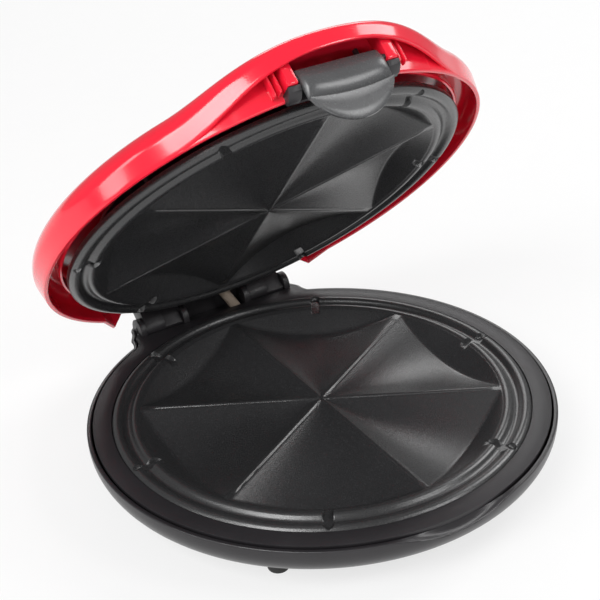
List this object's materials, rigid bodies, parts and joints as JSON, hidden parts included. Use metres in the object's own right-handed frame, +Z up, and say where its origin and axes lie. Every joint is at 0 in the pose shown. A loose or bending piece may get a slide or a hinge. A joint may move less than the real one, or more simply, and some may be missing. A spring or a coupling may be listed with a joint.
{
  "type": "quesadilla maker",
  "caption": "Round countertop quesadilla maker: shallow base, domed lid on two rear hinges, facing plates with wedge-shaped pockets, arched handle and a swinging latch.",
  "frame": {"origin": "on the counter, in the plane of the feet, under the centre of the lower cooking plate", "axes": "+Z up, -Y towards the handle and latch at the front, +Y towards the hinges at the rear, +X to the right seen from the front"},
  "size_m": [0.252, 0.2629, 0.2485],
  "materials": {
    "black_shell": "semi-gloss",
    "black_trim": "satin",
    "red_lid": "high gloss",
    "non_stick": "satin non-stick coating on cast metal",
    "heater_steel": "heat-tinted",
    "sheet_metal": "mill",
    "zinc": "zinc plated",
    "ceramic": "matt",
    "sleeve_cloth": "woven glass sleeve",
    "grey_latch": "satin",
    "foot_rubber": "matt",
    "lens": "clear tinted",
    "lamp_glass": "clear"
  },
  "bodies": {
    "base": {"base_shell": "black_shell", "base_frame": "black_shell", "base_screws": "zinc", "rubber_feet": "foot_rubber", "cooking_plate_lower": "non_stick", "heating_element_lower": "heater_steel", "element_ends_lower": "ceramic", "element_clamps_lower": "sheet_metal", "clamp_screws_lower": "zinc", "heat_shield_lower": "sheet_metal", "shield_screws_lower": "zinc", "plate_screws_lower": "zinc", "thermostat": "sheet_metal", "thermal_fuse": "zinc", "fuse_clip": "sheet_metal", "terminal_block": "ceramic", "cord_gland": "black_trim", "lead_sleeve": "sleeve_cloth", "hinge_pins": "zinc"},
    "lid": {"lid_shell": "red_lid", "lid_frame": "red_lid", "lid_frame_screws": "zinc", "cooking_plate_upper": "non_stick", "heating_element_upper": "heater_steel", "element_ends_upper": "ceramic", "element_clamps_upper": "sheet_metal", "clamp_screws_upper": "zinc", "heat_shield_upper": "sheet_metal", "shield_screws_upper": "zinc", "plate_screws_upper": "zinc", "lid_hinge_carrier": "black_trim", "carrier_screws": "zinc", "latch_mount": "black_trim", "latch_mount_screws": "zinc", "latch_pin": "zinc", "indicator_lenses": "lens", "neon_lamps": "lamp_glass"},
    "latch": {"latch": "grey_latch"}
  },
  "joints": [
    {"name": "lid_hinge", "type": "hinge", "parent": "base", "child": "lid", "pos_m": [0, 0.123, 0.035], "axis": [-1, 0, 0], "range_deg": [-48.9, 46], "deforming": ["lead_sleeve"]},
    {"name": "latch_pivot", "type": "hinge", "parent": "lid", "child": "latch", "pos_m": [0, -0.034, 0.22927], "axis": [-1, 0, 0], "range_deg": [-6, 30]}
  ]
}
